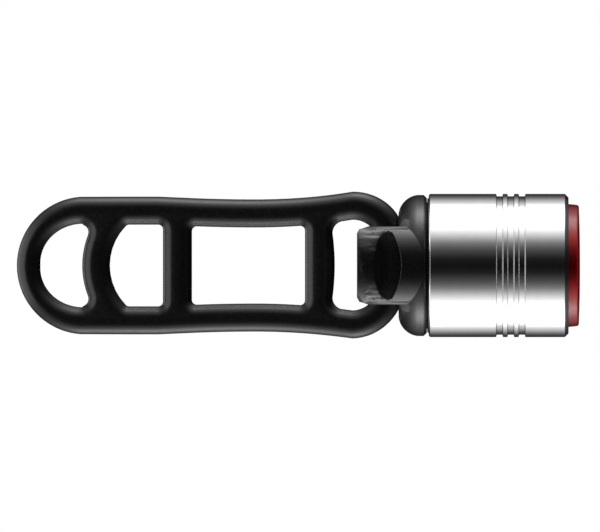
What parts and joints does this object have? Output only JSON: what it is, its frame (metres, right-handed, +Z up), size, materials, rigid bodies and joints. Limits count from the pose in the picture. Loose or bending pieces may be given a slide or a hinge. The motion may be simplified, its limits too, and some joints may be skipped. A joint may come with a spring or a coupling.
{
  "type": "bike rear light",
  "caption": "Round metal-bodied bike rear light with a red push lens, screwed on a saddle-backed cap that a rubber ladder strap ties to a seat post.",
  "frame": {"origin": "on the seat post's axis, level with the middle of the saddle's height", "axes": "+Z up along the seat post, +X along the light's axis towards the lens, +Y towards the hook that carries the strap"},
  "size_m": [0.1062, 0.0381, 0.0278],
  "materials": {
    "cap_plastic": "fine moulded grain, black",
    "strap_rubber": "smooth moulded rubber, black",
    "barrel_aluminium": "turned and polished",
    "lens_red": "translucent satin red",
    "seal_rubber": "smooth",
    "contact_metal": "plated",
    "cell_steel": "nickel plated",
    "gasket_plastic": "moulded",
    "sleeve_plastic": "moulded, natural",
    "board_green": "solder mask",
    "led_epoxy": "clear red epoxy",
    "tinned_metal": "tinned",
    "chip_black": "moulded",
    "capacitor_tan": "ceramic"
  },
  "bodies": {
    "mount": {"mount_cap": "cap_plastic", "cap_o_ring": "seal_rubber", "rear_contact": "contact_metal", "rear_cell_can": "cell_steel", "rear_cell_gasket": "gasket_plastic", "rear_cell_cap": "cell_steel", "front_cell_can": "cell_steel", "front_cell_gasket": "gasket_plastic", "front_cell_cap": "cell_steel"},
    "light_engine": {"engine_sleeve": "sleeve_plastic", "board_retainer": "sleeve_plastic", "circuit_board": "board_green", "battery_spring": "contact_metal", "led_body": "led_epoxy", "led_leads": "tinned_metal", "switch_housing": "chip_black", "switch_cover": "tinned_metal", "switch_legs": "tinned_metal", "driver_chip": "chip_black", "chip_legs": "tinned_metal", "resistors": "chip_black", "capacitor": "capacitor_tan"},
    "barrel_body": {"barrel": "barrel_aluminium", "lens_seal": "seal_rubber"},
    "lens": {"lens_button": "lens_red"},
    "stem": {"switch_stem": "chip_black"},
    "strap_body": {"strap": "strap_rubber"}
  },
  "joints": [
    {"name": "strap_swing", "type": "hinge", "parent": "mount", "child": "strap_body", "pos_m": [0.0121, 0.01377, 0], "axis": [0, 0, 1], "range_deg": [-110, 6]},
    {"name": "engine_slide", "type": "slide", "parent": "mount", "child": "light_engine", "axis": [1, 0, 0], "range_m": [0, 0.00562]},
    {"name": "barrel_turn", "type": "hinge", "parent": "light_engine", "child": "barrel_body", "pos_m": [0.033, 0, 0], "axis": [1, 0, 0], "range_deg": [0, 1621]},
    {"name": "lens_press", "type": "slide", "parent": "light_engine", "child": "lens", "axis": [-1, 0, 0], "range_m": [0, 0.0005], "stiffness_N_per_m": 2500, "springref_m": -0.0004},
    {"name": "stem_press", "type": "slide", "parent": "light_engine", "child": "stem", "axis": [-1, 0, 0], "range_m": [0, 0.0005]}
  ],
  "couplings": [
    {"joint": "barrel_turn", "follows": "engine_slide", "rad_per_m": 5026.5},
    {"joint": "stem_press", "follows": "lens_press", "ratio": 1}
  ]
}
